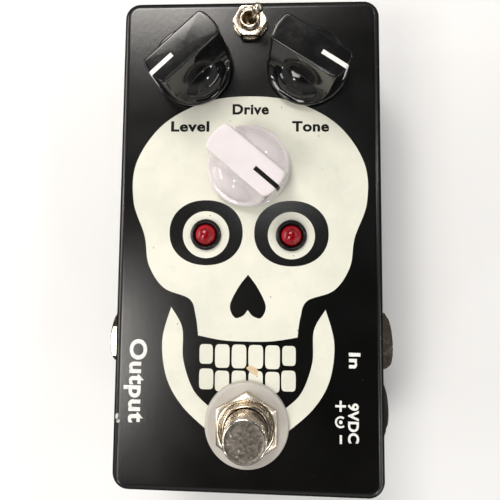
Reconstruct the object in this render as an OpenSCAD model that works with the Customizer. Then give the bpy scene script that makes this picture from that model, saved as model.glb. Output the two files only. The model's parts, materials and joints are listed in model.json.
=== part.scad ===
// Guitar effects pedal in a die-cast enclosure: three knobs, a toggle, two LEDs and a footswitch.
// Frame: +X to the right, +Y towards the knobs, +Z up, origin under the middle of the rubber feet.

/* [Enclosure] */
// Width at the base
box_w = 66; // [65:0.5:72]
// Length at the base
box_l = 121; // [120:0.5:130]
// Height with the base plate, without the feet
box_h = 39.3; // [38:0.1:46]
// How far each side leans in by the top
draft = 0.6; // [0.3:0.1:1]
// Thickness of the walls and the top
wall = 2.2; // [1.8:0.1:2.6]
// Plan radius of the upright corners
corner_r = 4; // [3.5:0.5:5]
// Radius of the top edges
edge_r = 2; // [1:0.1:2.5]
// Thickness of the base plate
base_t = 2; // [1.6:0.1:2.4]
// Height of the rubber feet
foot_h = 2; // [1:0.5:4]

/* [Layout on the top face] */
// Distance of the two upper knobs from the centre line
knob_x = 14.2; // [13:0.1:16]
// Place of the two upper knobs along the box
knob_y = 42.5; // [42:0.1:44]
// Place of the middle knob along the box
drive_y = 17.6; // [17:0.1:19]
// Place of the toggle along the box
toggle_y = 53.8; // [53:0.1:54]
// Distance of the LEDs from the centre line
led_x = 10.4; // [9:0.1:14]
// Place of the LEDs along the box
led_y = 0.9; // [0:0.1:2]
// Place of the footswitch along the box
foot_y = -43.3; // [-44:0.1:-42]

/* [Knobs] */
// Diameter of a knob
knob_d = 20; // [18:0.5:21]
// Top of a knob above the face
knob_top = 16.2; // [15:0.1:18]
// Gap between a knob and the face
knob_gap = 1.2; // [0.8:0.1:2]
// Width of the grip bar at its top
bar_w = 7; // [6.6:0.1:8]
// Level pointer, degrees clockwise from the top of the box
level_turn = -133; // [-150:1:150]
// Drive pointer, degrees clockwise from the top of the box
drive_turn = 130; // [-150:1:150]
// Tone pointer, degrees clockwise from the top of the box
tone_turn = 123; // [-150:1:150]

/* [Toggle] */
// Lean of the lever to each side, degrees
lever_lean = 14; // [8:1:14]
// Height of the middle of the lever's tip above the face
lever_tip = 9.2; // [8:0.1:11]

/* [Footswitch] */
// Diameter of the plunger
plunger_d = 10; // [9:0.1:10.4]
// Top of the plunger above the face
plunger_top = 9.6; // [8:0.1:11]
// Travel of the plunger
travel = 3; // [2:0.1:4]

/* [Sockets] */
// Place of the two signal jacks along the box
jack_y = -27.4; // [-28:0.1:-26]
// Place of the power socket along the box
dc_y = -44; // [-44.4:0.1:-43.6]
// Depth of the sockets' axes below the face
socket_drop = 15.5; // [15:0.1:17]
// Bore of a signal jack, for a quarter-inch plug
jack_bore = 6.5; // [6.4:0.05:6.6]

/* [Hidden] */
$fn = 48;
fine = 32;
snug = 0.02;
running = 0.05;
cut = 0.5;
face = foot_h + box_h;
under = face - wall;
floor_z = foot_h + base_t;
shell_h = box_h - base_t;

// Enclosure
inner_edge_r = 0.4;
boss_r = 4;
boss_inset = 3;
boss_x = box_w / 2 - wall - boss_inset;
boss_y = box_l / 2 - wall - boss_inset;
screw_r = 1.7;
screw_l = 10;
screw_head_r = 3.3;
cross_l = 3.2;
cross_w = 0.7;
cross_deep = 1.1;
lip_h = 1.5;
lip_w = 1.2;
lip_gap = 0.3;
foot_r = 5;
foot_round = 0.8;
foot_pitch_x = 21;
foot_pitch_y = 44;

// Pots
pot_r = 8.25;
pot_h = 8.5;
pot_skin = 1;
pot_bushing_r = 3.5;
pot_bushing_top = 4.5;
pot_hole_r = 3.6;
shaft_r = 3;
shaft_top = 9.4;
rotor_r = 6;
rotor_h = 2.5;
rotor_gap = 0.3;
pot_washer_r = 6;
pot_washer_t = 0.5;
pot_nut_af = 10;
pot_nut_h = 2;
leg_pitch = 5;
leg_y = -5;
leg_w = 0.8;
leg_t = 0.5;
leg_out = 1;
pots = [[-knob_x, knob_y], [0, drive_y], [knob_x, knob_y]];

// Knobs, measured up from the face
knob_r = knob_d / 2;
rim_h = 1.2;
rim_step = 0.3;
knob_top_r = knob_r - 0.9;
bar_flare = 0.16;
dome_edge_r = knob_r - 0.7;
dome_top = 8.2;
dome_sweep = 84;
nut_space_r = 6.6;
nut_space_top = 4.9;
insert_r = 4;
insert_top = 9.6;
set_screw_r = 1.5;
set_screw_z = 7.2;
set_screw_end = 7;
key_r = 0.85;
key_deep = 1;

// Board
board_w = 54;
board_t = 1.6;
board_gap = 1;
board_y0 = -13;
board_y1 = 47;
board_top = under - pot_h - board_gap;
board_bottom = board_top - board_t;
lead_hole_r = 0.75;
solder_gap = 0.05;
part_pitch = 10;
resistor_r = 1.2;
resistor_l = 6.4;
resistor_drop = 1.6;
resistor_lead = 0.5;
film_w = 7;
film_l = 2.5;
film_h = 5.5;
can_r = 3.2;
can_h = 11;
case_r = 2.4;
case_h = 6.5;

// LEDs
led_r = 2.5;
led_top = 2.8;
led_base = -4.5;
led_well = 0.5;
led_lead_r = 0.25;
led_lead_pitch = 2.54;
bezel_r = 3.8;
bezel_t = 1.2;
bezel_sleeve_r = 3.15;
bezel_hole_r = 3.2;
bezel_round = 0.6;
bezel_end = led_base - 0.6;

// Toggle
toggle_hole_r = 2.45;
toggle_bushing_r = 2.4;
toggle_bushing_top = 3.8;
mouth_r = 1.95;
toggle_body_l = 12.7;
toggle_body_w = 6.9;
toggle_body_h = 9.5;
toggle_skin = 1;
toggle_washer_r = 4.2;
toggle_washer_t = 0.6;
toggle_nut_af = 7.5;
toggle_nut_h = 2;
pivot_z = 0.5;
ball_r = 1.25;
cross_pin_r = 0.35;
cross_pin_l = 4;
cross_pin_turn = 25;
lever_r = 0.9;
lever_end_r = 1.3;
lever_neck = 2.4;
lever_tail = 5.2;
tail_r = 0.6;
tail_space_r = 1.75;
tail_space_drop = 2.2;
rocker_drop = 0.45;
rocker_l = 8;
rocker_w = 2.8;
rocker_t = 0.5;
rocker_tilt = 8;
rocker_rib = 0.1;
terminal_w = 2;
terminal_t = 0.6;
terminal_out = 4;
terminal_pitch = 3.6;
contact_gap = 0.15;

// Footswitch
bushing_r = 6;
bushing_top = 4;
bushing_drop = 6.5;
switch_w = 17;
switch_h = 14;
switch_skin = 1.2;
switch_cavity_r = 7;
collar_r = 6.4;
collar_h = 1.2;
collar_gap = 0.1;
plunger_space = 0.35;
plunger_round = 0.5;
nylon_r = 10;
nylon_t = 1.5;
foot_nut_af = 14;
foot_nut_h = 1.7;
lower_nut_h = 2;
lock_washer_t = 0.8;
lock_washer_r = 8;
lug_w = 2;
lug_t = 0.8;
lug_l = 4.5;
lug_pitch = 5.3;
coil_r = 3.6;
coil_wire_r = 0.35;
coil_turns = 6;
coil_steps = 14;
switch_top = face - bushing_drop;
switch_bottom = switch_top - switch_h;
cavity_bottom = switch_bottom + switch_skin;
cavity_top = switch_top - switch_skin;
collar_bottom = cavity_top - collar_gap - collar_h;

// Sockets, measured outwards from the spot faces on the side walls
socket_z = face - socket_drop;
spot_deep = 0.14;
spot_x = box_w / 2 - draft * (box_h - socket_drop) / box_h - spot_deep;
inner_x = -wall - 0.4;
jack_r = 4.75;
jack_out = 4.2;
jack_spot_r = 7.5;
jack_washer_r = 6.9;
jack_washer_t = 0.8;
jack_nut_af = 12.7;
jack_nut_h = 3.2;
frame_t = 1;
frame_w = 14;
frame_l = 20;
tip_reach = 21;
tip_t = 0.6;
tip_w = 4;
tip_hook = 3;
dc_r = 5.5;
dc_out = 2.9;
dc_spot_r = 8.8;
dc_nut_af = 15;
dc_nut_h = 2;
dc_deep = 12;
dc_floor = 2;
dc_flange_r = 6.8;
dc_flange_t = 1.5;
dc_bore_r = 3;
dc_pin_r = 1.05;
dc_pin_l = 9;
dc_tail_r = 0.8;
dc_tail_l = 4;

// Hookup wires, each a Bezier curve from its first point to its last
wire_r = 0.6;
wire_sides = 8;
wire_rings = 9;
wire_y = -9;
wire_gap = 0.4;

// Shared shapes

function arc(cx, cy, r, a0, a1, n) = [for (i = [0:n])
    let (a = a0 + (a1 - a0) * i / n) [cx + r * cos(a), cy + r * sin(a)]];

module ring(r_out, r_in, h) {
    difference() {
        cylinder(r = r_out, h = h);
        translate([0, 0, -cut]) cylinder(r = r_in, h = h + 2 * cut);
    }
}

module hex_nut(af, r_in, h) {
    difference() {
        cylinder(r = af / sqrt(3), h = h, $fn = 6);
        translate([0, 0, -cut]) cylinder(r = r_in, h = h + 2 * cut, $fn = 48);
    }
}

module centred_box(w, l, z0, z1) {
    translate([-w / 2, -l / 2, z0]) cube([w, l, z1 - z0]);
}

module at_pots() {
    for (p = pots) translate([p[0], p[1], face]) children();
}

// Places a child on a side wall, with its own +Z pointing out of the box
module on_side(side, y) {
    translate([side * spot_x, y, socket_z]) rotate([0, side * 90, 0]) children();
}

// A rounded tube swept along a path by rings of points
function unit(v) = v / norm(v);
function tangent(path, i) = unit(path[min(i + 1, len(path) - 1)] - path[max(i - 1, 0)]);
function tube_ring(p, t, ref, r, n) =
    let (u = unit(cross(ref, t)), v = cross(t, u))
    [for (i = [0:n - 1]) p + r * (cos(360 * i / n) * u + sin(360 * i / n) * v)];

module sweep(path, r, ref, n) {
    last = (len(path) - 1) * n;
    points = [for (i = [0:len(path) - 1], p = tube_ring(path[i], tangent(path, i), ref, r, n)) p];
    sides = [for (i = [0:len(path) - 2], j = [0:n - 1])
        let (a = i * n + j, b = i * n + (j + 1) % n)
        each [[a, a + n, b], [b, a + n, b + n]]];
    ends = [[for (j = [0:n - 1]) j], [for (j = [n - 1:-1:0]) last + j]];
    polyhedron(points = points, faces = concat(sides, ends));
}

function bezier(p, t) = pow(1 - t, 3) * p[0] + 3 * t * pow(1 - t, 2) * p[1]
    + 3 * t * t * (1 - t) * p[2] + pow(t, 3) * p[3];

// Enclosure

module drafted_block(w, l, z0, z1, lean, corner, edge) {
    x0 = w / 2 - corner;
    y0 = l / 2 - corner;
    hull() for (sx = [-1, 1], sy = [-1, 1]) {
        translate([sx * x0, sy * y0, z0]) cylinder(r = corner, h = 0.01, $fn = fine);
        translate([sx * (x0 - lean), sy * (y0 - lean), z1 - edge])
            rotate_extrude($fn = fine)
                polygon(concat([[0, 0]], arc(corner - edge, 0, edge, 0, 90, 8), [[0, edge]]));
    }
}

module enclosure_shell() {
    color([0.04, 0.04, 0.045]) difference() {
        union() {
            difference() {
                drafted_block(box_w, box_l, floor_z, face, draft, corner_r, edge_r);
                drafted_block(box_w - 2 * wall, box_l - 2 * wall, floor_z - snug, under, draft,
                    corner_r - wall, inner_edge_r);
            }
            for (sx = [-1, 1], sy = [-1, 1])
                translate([sx * boss_x, sy * boss_y, floor_z])
                    cylinder(r = boss_r, h = shell_h - wall / 2);
        }
        for (sx = [-1, 1], sy = [-1, 1])
            translate([sx * boss_x, sy * boss_y, floor_z - cut])
                cylinder(r = screw_r + snug, h = screw_l + cut);
        for (p = pots) translate([p[0], p[1], under - cut]) cylinder(r = pot_hole_r, h = wall + 2 * cut);
        for (sx = [-1, 1])
            translate([sx * led_x, led_y, under - cut]) cylinder(r = bezel_hole_r, h = wall + 2 * cut);
        translate([0, toggle_y, under - cut]) cylinder(r = toggle_hole_r, h = wall + 2 * cut);
        translate([0, foot_y, under - cut]) cylinder(r = bushing_r + running, h = wall + 2 * cut);
        for (side = [-1, 1]) on_side(side, jack_y) socket_cut(jack_r, jack_spot_r);
        on_side(1, dc_y) socket_cut(dc_r, dc_spot_r);
    }
}

module socket_cut(r, spot_r) {
    cylinder(r = spot_r, h = cut);
    translate([0, 0, -2 * wall]) cylinder(r = r + running, h = 2 * wall + cut);
}

module base_plate() {
    lip_x = box_w / 2 - wall - lip_gap - lip_w;
    lip_y = box_l / 2 - wall - lip_gap - lip_w;
    color([0.05, 0.05, 0.055]) difference() {
        union() {
            translate([0, 0, foot_h]) linear_extrude(base_t) difference() {
                square([box_w, box_l], center = true);
                for (sx = [-1, 1], sy = [-1, 1])
                    translate([sx * box_w / 2, sy * box_l / 2]) rotate(sx * sy > 0 ? (sx > 0 ? 180 : 0)
                        : (sx > 0 ? 90 : 270)) corner_off();
            }
            for (s = [-1, 1]) {
                translate([s * (lip_x + lip_w / 2), 0, 0])
                    centred_box(lip_w, 2 * (boss_y - boss_r - lip_gap), floor_z - snug, floor_z + lip_h);
                translate([0, s * (lip_y + lip_w / 2), 0])
                    centred_box(2 * (boss_x - boss_r - lip_gap), lip_w, floor_z - snug, floor_z + lip_h);
            }
        }
        for (sx = [-1, 1], sy = [-1, 1]) translate([sx * boss_x, sy * boss_y, foot_h]) {
            translate([0, 0, -cut]) cylinder(r = screw_r + snug, h = base_t + 2 * cut);
            translate([0, 0, -snug / 2])
                cylinder(r1 = screw_head_r + running, r2 = screw_r + snug, h = screw_head_r - screw_r);
        }
    }
}

// What a rounded corner leaves of a square one, with the corner at the origin
module corner_off() {
    difference() {
        translate([-1, -1]) square(corner_r + 1);
        translate([corner_r, corner_r]) circle(corner_r);
    }
}

module base_screws() {
    color([0.55, 0.55, 0.57])
        for (sx = [-1, 1], sy = [-1, 1]) translate([sx * boss_x, sy * boss_y, foot_h]) difference() {
            union() {
                cylinder(r = screw_r, h = screw_l);
                cylinder(r1 = screw_head_r, r2 = screw_r, h = screw_head_r - screw_r);
            }
            for (a = [0, 90]) rotate(a) centred_box(cross_l, cross_w, -cut, cross_deep);
        }
}

module rubber_feet() {
    color([0.08, 0.08, 0.08])
        for (sx = [-1, 1], sy = [-1, 1]) translate([sx * foot_pitch_x, sy * foot_pitch_y, 0])
            rotate_extrude() polygon(concat([[0, 0]],
                arc(foot_r - foot_round - 0.2, foot_round, foot_round, -90, 0, 4),
                [[foot_r, foot_h], [0, foot_h]]));
}

// Circuit board and its parts

module circuit_board() {
    color([0.1, 0.32, 0.16]) difference() {
        translate([-board_w / 2, board_y0, board_bottom]) cube([board_w, board_y1 - board_y0, board_t]);
        for (p = pots, i = [-1:1])
            translate([p[0] + i * leg_pitch, p[1] + leg_y, board_bottom - cut])
                cylinder(r = lead_hole_r, h = board_t + 2 * cut);
        for (sx = [-1, 1], i = [-1, 1])
            translate([sx * led_x + i * led_lead_pitch / 2, led_y, board_bottom - cut])
                cylinder(r = lead_hole_r, h = board_t + 2 * cut);
    }
}

// Parts hang under the board, towards the base plate
module resistors() {
    color([0.78, 0.67, 0.5]) for (i = [-2:2], y = [7.2, 25.5])
        translate([i * part_pitch, y, board_bottom - resistor_drop]) {
            rotate([90, 0, 0]) cylinder(r = resistor_r, h = resistor_l, center = true);
            for (s = [-1, 1]) translate([0, s * (resistor_l / 2 + resistor_lead), 0]) {
                centred_box(resistor_lead, resistor_lead, -resistor_lead / 2, resistor_drop - solder_gap);
                translate([0, -s * resistor_lead, 0])
                    centred_box(resistor_lead, 3 * resistor_lead, -resistor_lead / 2, resistor_lead / 2);
            }
        }
}

module capacitors() {
    color([0.75, 0.12, 0.1]) for (i = [-2:2]) translate([i * part_pitch, 18, board_bottom])
        centred_box(film_w, film_l, -solder_gap - film_h, -solder_gap);
    color([0.1, 0.13, 0.3]) for (s = [-1, 1])
        translate([s * 22, 33.5, board_bottom - solder_gap - can_h]) cylinder(r = can_r, h = can_h);
}

module transistors() {
    color([0.06, 0.06, 0.06]) for (i = [-1:1])
        translate([i * 8, 33, board_bottom - solder_gap - case_h]) difference() {
            cylinder(r = case_r, h = case_h);
            translate([-case_r, case_r / 2, -cut]) cube([2 * case_r, case_r, case_h + 2 * cut]);
        }
}

// Pots

module pot() {
    color([0.72, 0.72, 0.74]) {
        difference() {
            union() {
                translate([0, 0, -wall - pot_h]) cylinder(r = pot_r, h = pot_h);
                translate([0, 0, -wall - pot_skin])
                    cylinder(r = pot_bushing_r, h = wall + pot_skin + pot_bushing_top);
                for (i = [-1:1]) translate([i * leg_pitch, leg_y, -wall - pot_h])
                    centred_box(leg_w, leg_t, -board_gap - board_t - leg_out, pot_skin / 2);
            }
            translate([0, 0, -wall - pot_h + pot_skin])
                cylinder(r = pot_r - pot_skin, h = pot_h - 2.5 * pot_skin);
            translate([0, 0, -wall - pot_h / 2])
                cylinder(r = shaft_r + running, h = pot_h / 2 + wall + pot_bushing_top + cut);
        }
    }
}

module pot_washers() {
    color([0.8, 0.79, 0.77]) at_pots() ring(pot_washer_r, pot_hole_r, pot_washer_t);
}

module pot_nuts() {
    color([0.8, 0.79, 0.77]) at_pots() translate([0, 0, pot_washer_t])
        hex_nut(pot_nut_af, pot_bushing_r + snug, pot_nut_h);
}

module shaft() {
    rotor_top = -wall - 1.5 * pot_skin - rotor_gap;
    color([0.7, 0.7, 0.72]) {
        translate([0, 0, rotor_top - rotor_h]) cylinder(r = rotor_r, h = rotor_h);
        translate([0, 0, rotor_top - rotor_h / 2])
            cylinder(r = shaft_r, h = shaft_top - rotor_top + rotor_h / 2);
    }
}

// Knobs: a taper turned about the shaft, with a grip bar across a domed skirt, pointer towards +Y

module knob() {
    profile = [[0, knob_gap], [knob_r, knob_gap], [knob_r, knob_gap + rim_h],
        [knob_r - rim_step, knob_gap + rim_h + rim_step], [knob_top_r, knob_top], [0, knob_top]];
    half_foot = bar_w / 2 + bar_flare * (knob_top - knob_gap);
    difference() {
        union() {
            intersection() {
                rotate_extrude() polygon(profile);
                rotate([90, 0, 0]) linear_extrude(2 * knob_d, center = true)
                    polygon([[-half_foot, knob_gap - cut], [half_foot, knob_gap - cut],
                        [bar_w / 2, knob_top + cut], [-bar_w / 2, knob_top + cut]]);
            }
            rotate_extrude() polygon(concat([[0, knob_gap], [knob_r, knob_gap],
                [knob_r, knob_gap + rim_h]], dome_points(6), [[0, dome_top]]));
        }
        translate([0, 0, knob_gap - cut]) cylinder(r = nut_space_r, h = nut_space_top - knob_gap + cut);
        translate([0, 0, knob_gap]) cylinder(r = insert_r + snug, h = insert_top - knob_gap + snug);
        translate([0, 0, set_screw_z]) rotate([90, 0, 0]) cylinder(r = set_screw_r + snug, h = knob_d);
    }
}

// The dome of the skirt, an elliptic arc from its edge to near its top
function dome_points(n) = [for (i = [0:n]) let (a = dome_sweep * i / n)
    [dome_edge_r * cos(a), knob_gap + rim_h + (dome_top - knob_gap - rim_h) * sin(a)]];

module knob_insert() {
    color([0.78, 0.62, 0.3]) difference() {
        translate([0, 0, nut_space_top]) cylinder(r = insert_r, h = insert_top - nut_space_top);
        translate([0, 0, nut_space_top - cut])
            cylinder(r = shaft_r + snug, h = shaft_top - nut_space_top + cut + snug);
        translate([0, 0, set_screw_z]) rotate([90, 0, 0]) cylinder(r = set_screw_r + snug, h = knob_d);
    }
}

module set_screw() {
    length = set_screw_end - shaft_r;
    color([0.35, 0.35, 0.37]) translate([0, -shaft_r - 2 * snug, set_screw_z]) rotate([90, 0, 0])
        difference() {
            cylinder(r = set_screw_r, h = length);
            translate([0, 0, length - key_deep]) cylinder(r = key_r, h = key_deep + cut, $fn = 6);
        }
}

module on_pot(i, turn) {
    translate([pots[i][0], pots[i][1], face]) rotate(-turn) children();
}

// LEDs

module at_leds() {
    for (sx = [-1, 1]) translate([sx * led_x, led_y, face]) children();
}

module led_bezels() {
    color([0.03, 0.03, 0.03]) at_leds() rotate_extrude() polygon(concat(
        [[led_r + running, bezel_end], [bezel_sleeve_r, bezel_end], [bezel_sleeve_r, 0], [bezel_r, 0]],
        arc(bezel_r - bezel_round, bezel_t - bezel_round, bezel_round, 0, 90, 4),
        [[led_r + led_well, bezel_t], [led_r + running, bezel_t - led_well]]));
}

module led_lenses() {
    color([0.55, 0.02, 0.04]) at_leds() rotate_extrude() polygon(concat(
        [[0, led_base], [led_r, led_base]], arc(0, led_top - led_r, led_r, 0, 86, 8),
        [[0, led_top]]));
}

module led_leads() {
    low = board_bottom - leg_out - face;
    color([0.75, 0.75, 0.77]) at_leds() for (i = [-1, 1])
        translate([i * led_lead_pitch / 2, 0, low]) cylinder(r = led_lead_r, h = led_base - low, $fn = 16);
}

// Toggle switch, flipping from side to side

module at_toggle() {
    translate([0, toggle_y, face]) children();
}

module toggle_body() {
    color([0.7, 0.1, 0.1]) at_toggle() difference() {
        centred_box(toggle_body_l, toggle_body_w, -wall - toggle_body_h, -wall);
        centred_box(toggle_body_l - 2 * toggle_skin, toggle_body_w - 2 * toggle_skin,
            -wall - toggle_body_h + toggle_skin, -wall - toggle_skin);
        translate([0, 0, -wall - 2 * toggle_skin]) cylinder(r = toggle_bushing_r + snug, h = 3 * toggle_skin);
        toggle_blades(snug);
    }
}

module toggle_bushing() {
    color([0.82, 0.79, 0.7]) at_toggle() difference() {
        translate([0, 0, -wall - toggle_skin])
            cylinder(r = toggle_bushing_r, h = wall + toggle_skin + toggle_bushing_top);
        translate([0, 0, -wall - 2 * toggle_skin])
            cylinder(r = ball_r + running, h = wall + 2 * toggle_skin + pivot_z + 1);
        translate([0, 0, -wall - 2 * toggle_skin])
            cylinder(r = tail_space_r, h = wall + 2 * toggle_skin + pivot_z - tail_space_drop);
        translate([0, 0, pivot_z + 0.5])
            cylinder(r1 = ball_r + running, r2 = mouth_r, h = toggle_bushing_top - pivot_z);
        translate([0, 0, pivot_z]) cross_pin(running);
    }
}

module toggle_washer() {
    color([0.85, 0.82, 0.74]) at_toggle() ring(toggle_washer_r, toggle_bushing_r + snug, toggle_washer_t);
}

module toggle_nut() {
    color([0.85, 0.82, 0.74]) at_toggle() translate([0, 0, toggle_washer_t])
        hex_nut(toggle_nut_af, toggle_bushing_r + snug, toggle_nut_h);
}

// The lever leans to +X at rest and turns about the ball
module toggle_lever() {
    arm = (lever_tip - pivot_z) / cos(lever_lean);
    color([0.85, 0.83, 0.8]) at_toggle() translate([0, 0, pivot_z]) rotate([0, lever_lean, 0]) {
        rotate_extrude() polygon(concat(
            [[0, -lever_tail]], arc(0, -lever_tail + tail_r, tail_r, -80, 0, 4),
            arc(0, 0, ball_r, -56, 56, 8),
            [[lever_r, arm - lever_neck]], arc(0, arm, lever_end_r, -40, 84, 8), [[0, arm + lever_end_r]]));
        cross_pin(0);
    }
}

// The pin through the ball, on the lever's axis of rotation
module cross_pin(grow) {
    rotate([90, 0, 0]) rotate([0, 0, cross_pin_turn])
        cylinder(r = cross_pin_r + grow, h = cross_pin_l + 2 * grow, center = true, $fn = fine);
}

// Depths below the pivot of the rocking contact and of what carries it
rocker_top = pivot_z - lever_tail - rocker_drop;
rocker_mid = rocker_top - rocker_t / 2;

// The contact leans the other way from the lever: its -X end is down at rest. It rocks on a rib.
module toggle_rocker() {
    color([0.8, 0.65, 0.3]) at_toggle() translate([0, 0, rocker_mid]) rotate([0, -rocker_tilt, 0]) {
        cube([rocker_l, rocker_w, rocker_t], center = true);
        rotate([90, 0, 0]) cylinder(r = rocker_t / 2 + rocker_rib, h = rocker_w, center = true, $fn = fine);
    }
}

// The three terminals: the rocking contact's post and the two it tilts down to
module toggle_blades(grow) {
    end_drop = rocker_l / 2 * sin(rocker_tilt);
    for (i = [-1:1])
        translate([i * terminal_pitch, 0, 0])
            centred_box(terminal_t + 2 * grow, terminal_w + 2 * grow,
                -wall - toggle_body_h - terminal_out - grow,
                rocker_mid - rocker_t / 2 - contact_gap - (i == 0 ? running : end_drop) + grow);
}

module toggle_terminals() {
    color([0.8, 0.78, 0.7]) at_toggle() toggle_blades(0);
}

// Footswitch

module at_footswitch(z) {
    translate([0, foot_y, z]) children();
}

module footswitch_body() {
    color([0.08, 0.16, 0.4]) at_footswitch(0) difference() {
        centred_box(switch_w, switch_w, switch_bottom, switch_top);
        translate([0, 0, cavity_bottom]) cylinder(r = switch_cavity_r, h = cavity_top - cavity_bottom);
        translate([0, 0, cavity_top - cut])
            cylinder(r = plunger_d / 2 + plunger_space, h = switch_skin + 2 * cut);
    }
}

module footswitch_bushing() {
    color([0.8, 0.76, 0.68]) at_footswitch(switch_top)
        ring(bushing_r, plunger_d / 2 + running, bushing_drop + bushing_top);
}

module footswitch_washer() {
    color([0.78, 0.76, 0.74]) at_footswitch(face) ring(nylon_r, bushing_r + snug, nylon_t);
}

module footswitch_nut() {
    color([0.82, 0.76, 0.66]) at_footswitch(face + nylon_t) rotate(30)
        hex_nut(foot_nut_af, bushing_r + snug, foot_nut_h);
}

module footswitch_lock_washer() {
    color([0.6, 0.6, 0.6]) at_footswitch(under - lock_washer_t)
        ring(lock_washer_r, bushing_r + snug, lock_washer_t);
}

module footswitch_lower_nut() {
    color([0.8, 0.76, 0.68]) at_footswitch(under - lock_washer_t - lower_nut_h)
        hex_nut(foot_nut_af, bushing_r + snug, lower_nut_h);
}

module footswitch_plunger() {
    r = plunger_d / 2;
    top = face + plunger_top;
    color([0.6, 0.58, 0.56]) at_footswitch(0) rotate_extrude()
        polygon(concat([[0, collar_bottom], [collar_r, collar_bottom],
            [collar_r, collar_bottom + collar_h], [r, collar_bottom + collar_h]],
            arc(r - plunger_round, top - plunger_round, plunger_round, 0, 90, 4), [[0, top]]));
}

function coil_path(h) = [for (i = [0:coil_turns * coil_steps])
    let (a = 360 * i / coil_steps)
    [coil_r * cos(a), coil_r * sin(a), h * i / (coil_turns * coil_steps)]];

module footswitch_spring() {
    low = cavity_bottom + coil_wire_r + snug;
    high = collar_bottom - coil_wire_r - snug;
    color([0.7, 0.7, 0.7]) at_footswitch(low)
        sweep(coil_path(high - low), coil_wire_r, [0, 0, 1], 6);
}

// Nine lugs in three rows, under the body
module footswitch_terminals() {
    color([0.8, 0.78, 0.7]) at_footswitch(0) for (i = [-1:1], j = [-1:1])
        translate([i * lug_pitch, j * lug_pitch, 0])
            centred_box(lug_w, lug_t, switch_bottom - lug_l, switch_bottom);
}

// Signal jacks

module jack_bushing() {
    color([0.8, 0.78, 0.74]) translate([0, 0, inner_x - frame_t])
        ring(jack_r, jack_bore / 2, jack_out - inner_x + frame_t);
}

module jack_washer() {
    color([0.75, 0.74, 0.72]) ring(jack_washer_r, jack_r + snug, jack_washer_t);
}

module jack_nut() {
    color([0.8, 0.78, 0.74]) translate([0, 0, jack_washer_t]) rotate(30)
        hex_nut(jack_nut_af, jack_r + snug, jack_nut_h);
}

// Open frame: a plate behind the wall, with a side arm for the ground lug
module jack_frame() {
    color([0.7, 0.7, 0.7]) {
        translate([0, 0, inner_x - frame_t]) difference() {
            centred_box(frame_w, frame_w, 0, frame_t);
            translate([0, 0, -cut]) cylinder(r = jack_r + snug, h = frame_t + 2 * cut);
        }
        translate([0, -frame_w / 2 + frame_t / 2, 0])
            centred_box(frame_w / 2, frame_t, inner_x - frame_l, inner_x - frame_t / 2);
    }
}

// Tip spring: an arm beside the plug's path that hooks in behind its tip
module jack_tip() {
    low = inner_x - tip_reach;
    color([0.8, 0.68, 0.4]) translate([0, frame_w / 2 - tip_t, 0]) {
        centred_box(tip_w, tip_t, low, inner_x - 2 * frame_t);
        translate([0, tip_t / 2 - tip_hook / 2, 0]) centred_box(tip_w, tip_hook, low, low + tip_t);
    }
}

// Power socket

module dc_jack_body() {
    color([0.05, 0.05, 0.05]) difference() {
        union() {
            translate([0, 0, -dc_deep]) cylinder(r = dc_r, h = dc_deep + dc_out);
            translate([0, 0, inner_x - dc_flange_t]) cylinder(r = dc_flange_r, h = dc_flange_t);
        }
        translate([0, 0, dc_floor - dc_deep]) cylinder(r = dc_bore_r, h = dc_deep + dc_out);
        translate([0, 0, -dc_deep - cut]) cylinder(r = dc_tail_r + snug, h = dc_floor + 2 * cut);
    }
}

module dc_jack_nut() {
    color([0.05, 0.05, 0.05]) rotate(30) hex_nut(dc_nut_af, dc_r + snug, dc_nut_h);
}

// Centre pin: a stepped pin, with its tail through the socket's floor
module dc_jack_pin() {
    color([0.8, 0.78, 0.7]) translate([0, 0, dc_floor - dc_deep]) {
        cylinder(r = dc_pin_r, h = dc_pin_l);
        translate([0, 0, -dc_floor - dc_tail_l]) cylinder(r = dc_tail_r, h = dc_floor + dc_tail_l + snug);
    }
}

// Wires under the board, from the footswitch's lugs up to the board's near edge. Each has its lug's
// column and row, the place across the board where it ends, and its height over the base plate.
module hookup_wires() {
    lug_end = switch_bottom - lug_l - wire_gap;
    board_end = board_bottom - wire_gap;
    runs = [[-1, 0, -16, 4], [0, 0, 0, 2], [1, 0, 16, 4], [-1, 1, -8, 7], [1, 1, 8, 7]];
    color([0.15, 0.15, 0.55]) for (run = runs) {
        x = run[0] * lug_pitch;
        y = foot_y + run[1] * lug_pitch;
        low = floor_z + run[3];
        route = [[x, y, lug_end], [x, y, low], [run[2], wire_y, low], [run[2], wire_y, board_end]];
        sweep([for (i = [0:wire_rings]) bezier(route, i / wire_rings)], wire_r, [1, 0, 0], wire_sides);
    }
}

enclosure_shell();
base_plate();
base_screws();
rubber_feet();
circuit_board();
resistors();
capacitors();
transistors();
on_pot(0, 0) pot();  // level_pot
on_pot(1, 0) pot();  // drive_pot
on_pot(2, 0) pot();  // tone_pot
pot_washers();
pot_nuts();
on_pot(0, level_turn) shaft();  // level_shaft
on_pot(1, drive_turn) shaft();  // drive_shaft
on_pot(2, tone_turn) shaft();  // tone_shaft
color([0.05, 0.05, 0.05]) on_pot(0, level_turn) knob();  // level_knob
color([0.9, 0.86, 0.87]) on_pot(1, drive_turn) knob();  // drive_knob
color([0.05, 0.05, 0.05]) on_pot(2, tone_turn) knob();  // tone_knob
on_pot(0, level_turn) knob_insert();  // level_insert
on_pot(1, drive_turn) knob_insert();  // drive_insert
on_pot(2, tone_turn) knob_insert();  // tone_insert
on_pot(0, level_turn) set_screw();  // level_set_screw
on_pot(1, drive_turn) set_screw();  // drive_set_screw
on_pot(2, tone_turn) set_screw();  // tone_set_screw
led_bezels();
led_lenses();
led_leads();
toggle_body();
toggle_bushing();
toggle_washer();
toggle_nut();
toggle_lever();
toggle_rocker();
toggle_terminals();
footswitch_body();
footswitch_bushing();
footswitch_washer();
footswitch_nut();
footswitch_lock_washer();
footswitch_lower_nut();
footswitch_plunger();
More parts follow.
